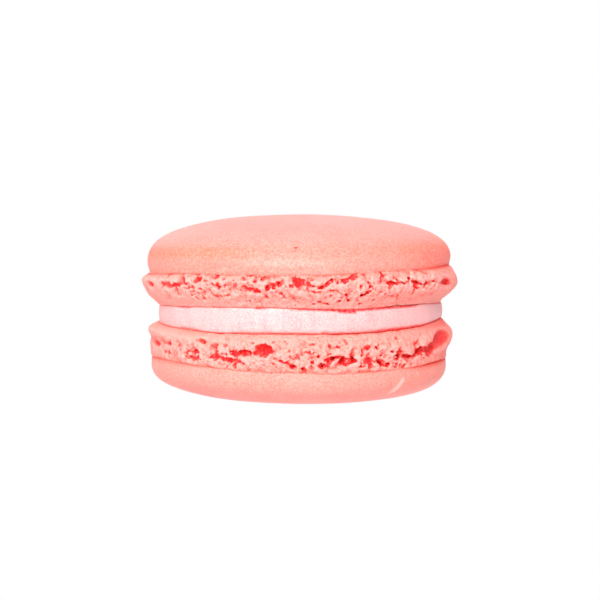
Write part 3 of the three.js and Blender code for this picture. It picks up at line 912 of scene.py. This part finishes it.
def shell_piece(shell, place):
    foot, field, grid = foot_object(shell)
    mesh = united(foot, skin_object(shell), core_object(shell))
    mesh.name = shell.name
    piece = bpy.data.objects.new(shell.name + "_baked", mesh)
    bpy.context.collection.objects.link(piece)
    mesh.materials.clear()
    paint_masks(mesh, shell, field, grid)
    mesh.transform(place)
    mesh.shade_smooth()
    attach(piece, "root")
    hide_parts(shell.name)
    triangles = sum(len(face.vertices) - 2 for face in mesh.polygons)
    print(piece.name, "has", triangles, "triangles")
    return piece


upper = shell_piece(UPPER, upper_place())
lower = shell_piece(LOWER, lower_place())

# %% [markdown]
# ## The cream
#
# Piped cream squeezed between two shells has a nearly upright side that swells a little and is
# faintly ribbed where the shells slid as they were pressed on. It meets the shells in a thin dark
# line that comes and goes, because it sticks to them only here and there: where it doesn't, a gap
# is left, and the two lists of gaps give azimuth and width. Each point of the mesh keeps how far it
# is from the nearer shell and from the lower one, and whether it is in such a gap, so that the
# material can paint shade on the cream there.

# %% Gaps between the cream and the shells
CREAM_GAPS = SimpleNamespace(size=3.2, mean=0.01, relief=0.045, least=-0.03)
UPPER_GAP = [
    (-82, -0.06), (-58, -0.04), (-55, 0.07), (-49, 0.08), (-47, 0.0), (-37, 0.0), (-36, 0.05),
    (-31, 0.05), (-30, 0.0), (-18.2, 0.0), (-17.5, 0.11), (-13.5, 0.1), (-12.5, 0.0), (-4.2, 0.0),
    (-3.8, 0.1), (2, 0.1), (10, 0.15), (14.4, 0.16), (14.6, 0.3), (17.5, 0.4), (22, 0.38),
    (22.4, 0.15), (28, 0.13), (33, 0.15), (40, 0.2), (46, 0.2), (52, 0.1), (55, -0.02), (62, -0.08),
    (85, -0.1),
]
LOWER_GAP = [
    (-75, -0.12), (-57, -0.12), (-54, 0.04), (-45, 0.02), (-41, -0.1), (-30, -0.12), (-26, 0.0),
    (-15, 0.03), (-9, 0.0), (0, 0.0), (7.8, 0.0), (8.2, 0.09), (11, 0.08), (11.4, 0.02), (16, 0.06),
    (18, 0.03), (26, 0.05), (31, 0.09), (33, 0.14), (35, 0.09), (37.5, 0.15), (41, 0.11), (43, 0.15),
    (45, 0.1), (60, 0.1), (75, 0.08), (88, 0.0),
]


def waving_gap(circle, seed):
    """The gap that is left everywhere, wider and narrower."""
    wave = gradient_noise(circle, CREAM_GAPS.size, seed) + 0.6 * gradient_noise(circle, 0.8, seed + 1)
    return np.clip(CREAM_GAPS.mean + CREAM_GAPS.relief * wave, CREAM_GAPS.least, None)


# %% Cream
CREAM_COLUMNS = 900
CREAM_HOLD = 0.1  # the cream bites this far into each shell, inside the rim
CREAM_EDGE = [(0, 0.2), (0.02, 0.08), (0.06, 0.02)]  # share of its height, and how far in


def cream_object():
    azimuth = np.arange(CREAM_COLUMNS) * 2 * math.pi / CREAM_COLUMNS
    circle = np.stack([np.sin(azimuth), -np.cos(azimuth), 0 * azimuth], axis=-1) * CREAM.radius

    rim = rise_at(LOWER.lift, azimuth)
    hang = rise_at(UPPER.lift, azimuth)
    low_gap, high_gap = (reading(line, np.degrees(azimuth)) for line in (LOWER_GAP, UPPER_GAP))
    low = rim + np.interp(rim, (0, 0.1), (0.14, 0)) + waving_gap(circle, 51) + low_gap
    slope = math.tan(CREAM.front_slope) * np.cos(azimuth) + math.tan(CREAM.right_slope) * np.sin(azimuth)
    high = CREAM.thickness + slope * CREAM.radius - hang - waving_gap(circle, 53) - high_gap
    sides = [(share, 0.0) for share in np.linspace(0.1, 0.9, 19)]
    rings, borders, above, recess = [], [], [], []
    for share, inset in CREAM_EDGE + sides + [(1 - share, inset) for share, inset in reversed(CREAM_EDGE)]:
        level = low + (high - low) * share
        spot = circle + np.stack([0 * level, 0 * level, level], axis=-1)
        ribs = gradient_noise(spot * (1, 1, 0.3), 2.4, 55) + 0.4 * gradient_noise(spot * (1, 1, 0.4), 0.7, 56)
        pits = gradient_noise(spot, 0.45, 57)
        radius = CREAM.radius - inset + CREAM.swell * math.sin(math.pi * share) + 0.03 * ribs + 0.015 * pits
        parting = np.maximum(high_gap, 0) * (share > 0.93) + low_gap * (share < 0.07)
        rings.append(ring(radius - 0.6 * parting, level, azimuth, 1))
        borders.append(np.minimum(level - low, high - level))
        above.append(level - low)
        recess.append(np.clip((high_gap * (share > 0.9) + low_gap * (share < 0.1)) / 0.15, 0, 1))
    for inset in (0.35, 6.0):
        inner = CREAM.radius - inset
        rings.insert(0, ring(inner, np.maximum(rim, 0) * (inset < 1) - CREAM_HOLD, azimuth, 1))
        rings.append(ring(inner, CREAM.thickness + slope * inner + CREAM_HOLD, azimuth, 1))
        borders = [0 * azimuth, *borders, 0 * azimuth]
        above = [0 * azimuth, *above, 0 * azimuth]
        recess = [0 * azimuth + 1, *recess, 0 * azimuth + 1]
    made = ring_object("cream_disc", rings, (0, 0, -CREAM_HOLD), (0, 0, CREAM.thickness + CREAM_HOLD))
    for name, rows in (("border", borders), ("above", above), ("recess", recess)):
        values = np.concatenate([[0], *rows, [0]]).astype(np.float32)
        made.data.attributes.new(name, "FLOAT", "POINT").data.foreach_set("value", values)
    made.data.transform(Matrix.Translation(Vector((CREAM.shift, 0, lower_height)) * MM))
    made.data.shade_smooth()
    return made


cream = cream_object()
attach(cream, "root")
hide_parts("cream_filling")
print("cream has", len(cream.data.polygons), "faces")

# %% [markdown]
# ## Shader maths as Python
#
# A material is a small program. This class wraps one output socket of a node, so that Python's own
# operators add the Math nodes, and a formula reads like a formula.

# %% Shader expressions
class Shade:
    """One socket of a material, or the start of its tree, on which expressions build nodes."""

    def __init__(self, tree, socket=None):
        self.tree = tree
        self.socket = socket

    def node(self, kind, inputs=None, output=0, stops=None, **settings):
        """Adds a node: its settings first, then the values or links of its sockets."""
        made = self.tree.nodes.new("ShaderNode" + kind)
        for name, value in settings.items():
            setattr(made, name, value)
        if stops:
            ramp = made.color_ramp.elements
            while len(ramp) < len(stops):
                ramp.new(1)
            for element, (place, colour) in zip(ramp, stops):
                element.position = place
                element.color = (*colour, 1)
        for name, value in (inputs or {}).items():
            if isinstance(value, Shade):
                self.tree.links.new(value.socket, made.inputs[name])
            else:
                made.inputs[name].default_value = value
        return Shade(self.tree, made.outputs[output])

    def math(self, operation, *values):
        return self.node("Math", dict(enumerate((self, *values))), operation=operation)

    def mix(self, factor, a, b):
        """Mixes two colours."""
        pair = [(*colour, 1) if isinstance(colour, tuple) else colour for colour in (a, b)]
        inputs = {0: factor, 6: pair[0], 7: pair[1]}
        return self.node("Mix", inputs, output=2, data_type="RGBA")

    def between(self, low, high):
        """0 below low, 1 above high, and eased in between."""
        inputs = {"Value": self, "From Min": low, "From Max": high}
        return self.node("MapRange", inputs, interpolation_type="SMOOTHSTEP")

    def __add__(self, other):
        return self.math("ADD", other)

    __radd__ = __add__

    def __mul__(self, other):
        return self.math("MULTIPLY", other)

    __rmul__ = __mul__

    def __sub__(self, other):
        return self.math("SUBTRACT", other)

    def __rsub__(self, other):
        return self * -1 + other


# %% [markdown]
# Each finish is one Principled shader: its fixed values are set by name, and what varies over the
# surface is fed in. A screen stores its colours unevenly, so they are made linear for the shader.

# %% Materials and colours
def new_material(name, **fixed):
    """A material with one Principled shader. Fixed values are set on its sockets by their names."""
    material = bpy.data.materials.new(name)
    material.use_nodes = True
    shader = material.node_tree.nodes["Principled BSDF"]
    for socket, value in fixed.items():
        shader.inputs[socket.replace("_", " ")].default_value = value
    return material, Shade(material.node_tree), shader


def feed(paint, shader, **links):
    for name, value in links.items():
        paint.tree.links.new(value.socket, shader.inputs[name.replace("_", " ")])


def linear(*srgb):
    """Linear values of a colour read off a screen from 0 to 255."""
    return tuple((c / 255 / 12.92) if c < 11 else ((c / 255 + 0.055) / 1.055) ** 2.4 for c in srgb)


# %% [markdown]
# ## Baked shell
#
# Skin and foot are the same batter, so they share one material, and masks stored on the mesh tell
# them apart. Light goes a little way into both and comes out redder, which subsurface scattering
# gives. The helpers read a stored mask, a place, and noise or spots of a given size, always in the
# material that `paint` and `place` belong to.

# %% Shell material and its helpers
shell_material, paint, shader = new_material(
    "baked_meringue",
    Subsurface_Weight=0.6,
    Subsurface_Scale=0.0007,
    Subsurface_Radius=(1.0, 0.22, 0.2),
    Specular_IOR_Level=0.4,
)
place = paint.node("TexCoord", output=3)


def stored(mask):
    """A number that the mesh keeps on its points."""
    return paint.node("Attribute", {}, output=2, attribute_name=mask)


def along(axis):
    """The place along X, Y or Z, numbered from 0 to 2, in metres."""
    return paint.node("SeparateXYZ", {"Vector": place}, output=axis)


def noise(size, detail=3.0, rough=0.5):
    """Noise with swells about `size` millimetres across."""
    inputs = {"Vector": place, "Scale": 1 / (size * MM), "Detail": detail, "Roughness": rough}
    return paint.node("TexNoise", inputs)


def spots(size):
    """0 at each of many points about `size` millimetres apart, and more away from them."""
    return paint.node("TexVoronoi", {"Vector": place, "Scale": 1 / (size * MM)}, output=0)


# %% [markdown]
# Some marks have one place on the front, so they need coordinates. An ellipse that is 0 in its
# middle and 1 at its rim can be given a soft or a sharp edge, and two of them make a crescent.

# %% Places on the shells
skin, crown = stored("skin"), stored("crown")
across, height = along(0), along(2)
behind = along(1).between(-0.004, 0.0)
is_upper = height.between(0.0118, 0.0125)
left_side = 1 - across.between(-0.012, 0.0)
right_side = across.between(0.013, 0.0215) * is_upper
left_flank = left_side * across.between(-0.022, -0.013) * is_upper
low_right = across.between(0.009, 0.018) * is_upper * (1 - crown.between(0.25, 0.6))


def ellipse(x, z, wide, high):
    """0 at a place on the front, in millimetres, and 1 at the rim of an ellipse about it."""
    from_x = (across - x * MM) * (1 / (wide * MM))
    from_z = (height - z * MM) * (1 / (high * MM))
    return (from_x * from_x + from_z * from_z + behind * 100).math("SQRT")


# %% [markdown]
# The skin is a satin peach pink with faint pale clouds and tiny specks of almond. It has painted
# shade where the dome turns down to its side, most at the left, and a painted highlight in a band
# just under that. One fleck of berry shows on the upper dome, and a pale crescent where the lower
# dome was scraped.

# %% Marks on the skin
patches = noise(2.6, 2.0).between(0.42, 0.72)
# Painted shade where the dome turns down to its side, most at the left, with a patchy edge.
painted_side_shade = (crown.between(0.22, 0.34) + left_side * 0.3) * (1 - crown.between(0.38, 0.54)) * is_upper
painted_side_shade = painted_side_shade * (0.36 + patches * 0.16 + left_side * 0.36)
# A painted highlight in a band low on the front of the upper dome.
band = crown.between(0.1, 0.2) * (1 - crown.between(0.2, 0.3)) * is_upper
band = band * (1 - ellipse(-1, 20.8, 9, 9).between(0.3, 1.0))
# A painted sheen on the front of the upper dome.
painted_sheen_patch = (1 - ellipse(-0.5, 23.3, 8, 1.5).between(0.3, 1.1)) * is_upper
fleck = 1 - ellipse(-0.39, 22.55, 0.32, 0.13).between(0.6, 1.2)
fleck = fleck + (1 - ellipse(-0.49, 22.15, 0.16, 0.12).between(0.5, 1.2)) * 0.4
in_one_circle = 1 - ellipse(11.8, 4.9, 2.9, 2.9).between(0.95, 1.02)
crescent = in_one_circle * ellipse(10.9, 5.92, 3.6, 3.6).between(0.97, 1.05)
crescent = crescent * across.between(0.0119, 0.0132) * (1 - height.between(0.0039, 0.0049))
scraped = crescent + (1 - ellipse(16.5, 4.7, 0.2, 0.38).between(0.4, 1.1)) * 0.5

# %% Colour of the skin
CROWN_SHEEN_PINK = linear(251, 158, 153)
RIM_PEACH = linear(251, 156, 144)
PALE_PEACH = linear(253, 202, 190)
WARM_PEACH = linear(250, 134, 110)
FLANK_PINK = linear(250, 120, 112)
PATCH_AND_SHADE_PEACH = linear(250, 139, 110)
ALMOND = linear(244, 110, 80)
BARE_CRUMB = linear(253, 220, 208)
BERRY = linear(240, 60, 30)

clouds = noise(9.0).between(0.35, 0.7)
mottle = noise(1.6, 4.0).between(0.3, 0.75)
fine = noise(0.3, 3.0, 0.7).between(0.32, 0.68)
fine_share = 0.54 - crown.between(0.3, 1.0) * 0.34
specks = 1 - spots(1.1).between(0.04, 0.12)
pale_specks = 1 - spots(2.3).between(0.03, 0.09)
# Painted shade on the upper dome's flanks, most at the right, over a faint pinker tone of the whole upper
# dome.
tone_and_flank_shade = is_upper * 0.16 + right_side * 0.28 + left_flank * 0.16
# Pinker towards the crown: a painted sheen.
skin_colour = paint.mix(crown.between(0.1, 0.95), RIM_PEACH, CROWN_SHEEN_PINK)
# Pale clouds and mottle, and the painted sheen patch.
skin_colour = paint.mix(clouds * 0.23 + mottle * 0.14 + painted_sheen_patch * 0.16, skin_colour, PALE_PEACH)
skin_colour = paint.mix(tone_and_flank_shade, skin_colour, FLANK_PINK)
# Painted shade at the dome's side and low at the right, and random patches of tone.
skin_colour = paint.mix(painted_side_shade + patches * 0.08 + low_right * 0.3, skin_colour, PATCH_AND_SHADE_PEACH)
# Fine grain, and the painted highlight of the band.
skin_colour = paint.mix(fine * fine_share + band * 0.3, skin_colour, PALE_PEACH)
skin_colour = paint.mix((1 - fine) * fine_share * 0.7, skin_colour, WARM_PEACH)
skin_colour = paint.mix(specks * 0.5, skin_colour, ALMOND)
skin_colour = paint.mix(pale_specks * 0.6 + scraped * 0.9, skin_colour, BARE_CRUMB)
skin_colour = paint.mix(fleck * 0.9, skin_colour, BERRY)

# %% [markdown]
# The foot's raised lumps are pale crumb, and its hollows are painted a saturated red as shade. A
# ramp turns how enclosed a point is into that painted shade, because mixing two colours alone
# would give a dull pink halfway. Grain is added before the ramp, so that it speckles the crumb and
# never greys it, and less of it at the two ends, where the foot is smooth.

# %% Colour of the crumb
CRUMB_RAMP = [
    (0.28, linear(253, 191, 182)),
    (0.42, linear(252, 174, 163)),
    (0.52, linear(251, 147, 136)),
    (0.62, linear(249, 110, 104)),
    (0.74, linear(244, 70, 75)),
    (0.86, linear(232, 42, 57)),
    (0.97, linear(210, 24, 46)),
]
curds = spots(0.5)
pores = 1 - spots(0.8).between(0.12, 0.22)
sharp_grain = noise(0.27, 2.0, 0.7).between(0.36, 0.64)
texture = (sharp_grain - 0.5) * 0.23 + (curds - 0.5) * 0.12 + pores * 0.15
base_side = (crown * -1).between(0.35, 0.95)
ends = across.math("ABSOLUTE").between(0.01, 0.02)
# Painted shade: redder where a point is enclosed, sunk into the foot or under an overhang.
enclosed = stored("close") * 0.42 + stored("broad") * 0.36 + stored("over") * 0.2 - 0.05
enclosed = enclosed + stored("sunk").between(0.02, 0.55) * 0.24
# Near the base, painted light makes the upper foot paler, and a little painted shade makes the lower foot
# redder.
enclosed = enclosed + base_side * (0.03 - is_upper * 0.16) + texture * (1 - ends * 0.8)
crumb_colour = paint.node("ValToRGB", {0: enclosed}, stops=CRUMB_RAMP)
near_seam = crown.between(-0.22, -0.03)
# Warmer with painted shade near the seam and near the lower foot's base, and with the fine grain.
grain_and_shade_warmth = near_seam * 0.22 + (1 - fine) * 0.2 + base_side * (1 - is_upper) * 0.15
crumb_colour = paint.mix(grain_and_shade_warmth, crumb_colour, WARM_PEACH)

# %% [markdown]
# The groove between foot and skin, and the lower foot's lip at the right, lie in warm shade. The
# bump only adds grain finer than the mesh: the skin stays satin, and the crumb is rough and dry.

# %% The whole shell
GROOVE_RED = linear(238, 84, 74)
colour = paint.mix(skin, crumb_colour, skin_colour)
lip = (crown * -1).between(0.88, 1.0) * across.between(0.012, 0.02) * (1 - is_upper)
colour = paint.mix(stored("crease") * 0.5 + lip * 0.45, colour, GROOVE_RED)
relief = noise(0.22, 2.0) * 0.5 + (1 - curds) * (1 - skin) - pores * (1 - skin)
bump = paint.node("Bump", {"Strength": 0.6, "Distance": 0.00012, "Height": relief})
feed(paint, shader, Base_Color=colour, Roughness=0.8 - skin * 0.28, Normal=bump)
print(shell_material.name, "has", len(paint.tree.nodes), "nodes")

# %% [markdown]
# ## Cream material
#
# Butter cream is nearly white, with just enough of the berry colour to read as pink. It is dense and
# fatty, so light goes into it and comes out softened, which keeps its shaded ends warm. Fine upright
# streaks are left by the slide of the shells. It blushes towards the lower shell. Near both shells it
# has painted shade, darkest in the gaps, and its right end has a greyer painted shade.

# %% Colour and finish of the cream
cream_material, paint, shader = new_material(
    "berry_cream",
    Subsurface_Weight=0.5,
    Subsurface_Scale=0.0015,
    Subsurface_Radius=(1.0, 0.6, 0.55),
    Specular_IOR_Level=0.4,
)
place = paint.node("TexCoord", output=3)
upright = paint.node("Mapping", {"Vector": place, "Scale": (1, 1, 0.25)})
streaks = paint.node("TexNoise", {"Vector": upright, "Scale": 1 / (0.9 * MM), "Detail": 4.0})
velvet = noise(0.15, 1.0)
weave = streaks.between(0.3, 0.7) * 0.25 + velvet.between(0.3, 0.66) * 0.75
cream_colour = paint.mix(weave, linear(242, 167, 169), linear(249, 219, 217))
blush = 1 - (stored("above") * 1.2 + noise(1.5, 3.0) * 0.8 - 0.5).between(0.0, 0.8)
cream_colour = paint.mix(blush * 0.35, cream_colour, linear(246, 150, 148))
# Painted shade: the right end is greyer and less pink.
right_end = along(0).between(0.011, 0.02)
cream_colour = paint.mix(right_end * 0.66, cream_colour, linear(236, 220, 222))
left_end = 1 - along(0).between(-0.019, -0.009)
cream_colour = paint.mix(left_end * 0.1, cream_colour, linear(249, 226, 226))
recess = stored("recess")
# Painted shade near both shells, darkest and reddest in the gaps, and less of it at the left end.
clear_of_shade = stored("border") * 2.2 + noise(0.5, 4.0, 0.65) * 1.2 - 0.45 + left_end * 0.12
border_shade = 1 - clear_of_shade.between(0.0, 0.5)
border_shade_colour = paint.mix(recess, linear(246, 122, 116), linear(226, 30, 48))
cream_colour = paint.mix(border_shade * 0.7 + recess * 0.3, cream_colour, border_shade_colour)
bump = paint.node("Bump", {"Strength": 0.4, "Distance": 0.00008, "Height": velvet + streaks})
feed(paint, shader, Base_Color=cream_colour, Roughness=0.5 + velvet * 0.1, Normal=bump)
print(cream_material.name, "has", len(paint.tree.nodes), "nodes")

# %% Dress the pieces
upper.data.materials.append(shell_material)
lower.data.materials.append(shell_material)
cream.data.materials.append(cream_material)

# %% [markdown]
# ## Stage and light
#
# The photograph is bright all round, as in a white tent: no hard shadow, and the light comes a
# little more from the front and left. The floor glows like a lit table, which keeps the underside as
# light as it is there, and looks plain white to the camera. The light is a little pink, which keeps
# the pale cream and the shaded sides as warm as they are there.

# %% Floor
floor = bpy.data.objects.new("floor", bpy.data.meshes.new("floor"))
floor.data.from_pydata([(x, y, 0) for x, y in ((-4, -4), (4, -4), (4, 4), (-4, 4))], [], [(0, 1, 2, 3)])
bpy.context.collection.objects.link(floor)
floor_material, paint, shader = new_material(
    "lit_table",
    Base_Color=(0, 0, 0, 1),
    Specular_IOR_Level=0.0,
    Emission_Strength=1.0,
)
TABLE_LIGHT = (1.1, 0.85, 0.85)
seen = paint.node("LightPath", output=0)
lit = paint.mix(seen, TABLE_LIGHT, (1.0, 1.0, 1.0))
feed(paint, shader, Emission_Color=lit)
floor.data.materials.append(floor_material)

# %% World
TENT_LIGHT = (1.8, 0.85, 0.85, 1)
world = bpy.data.worlds.new("tent")
world.use_nodes = True
bpy.context.scene.world = world
sky = Shade(world.node_tree)
seen = sky.node("LightPath", output=0)
glow = sky.node("Background", {"Color": TENT_LIGHT, "Strength": 0.28})
white = sky.node("Background", {"Color": (1, 1, 1, 1), "Strength": 1.0})
both = sky.node("MixShader", {0: seen, 1: glow, 2: white})
world.node_tree.links.new(both.socket, world.node_tree.nodes["World Output"].inputs["Surface"])

# %% Lamps
PINK_GLOW = (1, 0.683, 0.683)
AIM = Vector((0, 0, 0.013))  # the middle of the macaron


def softbox(name, place, width, power):
    """A square area light at a place in metres, aimed at the middle of the macaron."""
    data = bpy.data.lights.new(name, "AREA")
    data.size = width
    data.energy = power
    data.color = PINK_GLOW
    lamp = bpy.data.objects.new(name, data)
    lamp.location = place
    lamp.rotation_euler = (AIM - Vector(place)).to_track_quat("-Z", "Y").to_euler()
    bpy.context.collection.objects.link(lamp)
    print("the", name, "softbox shines with", power, "W")


softbox("key", (-0.17, -0.67, 0.42), 0.4, 10.8)
softbox("backdrop", (0.0, 0.9, 0.85), 1.6, 14.5)
bpy.context.scene.view_settings.view_transform = "Standard"
bpy.context.scene.cycles.diffuse_bounces = 12
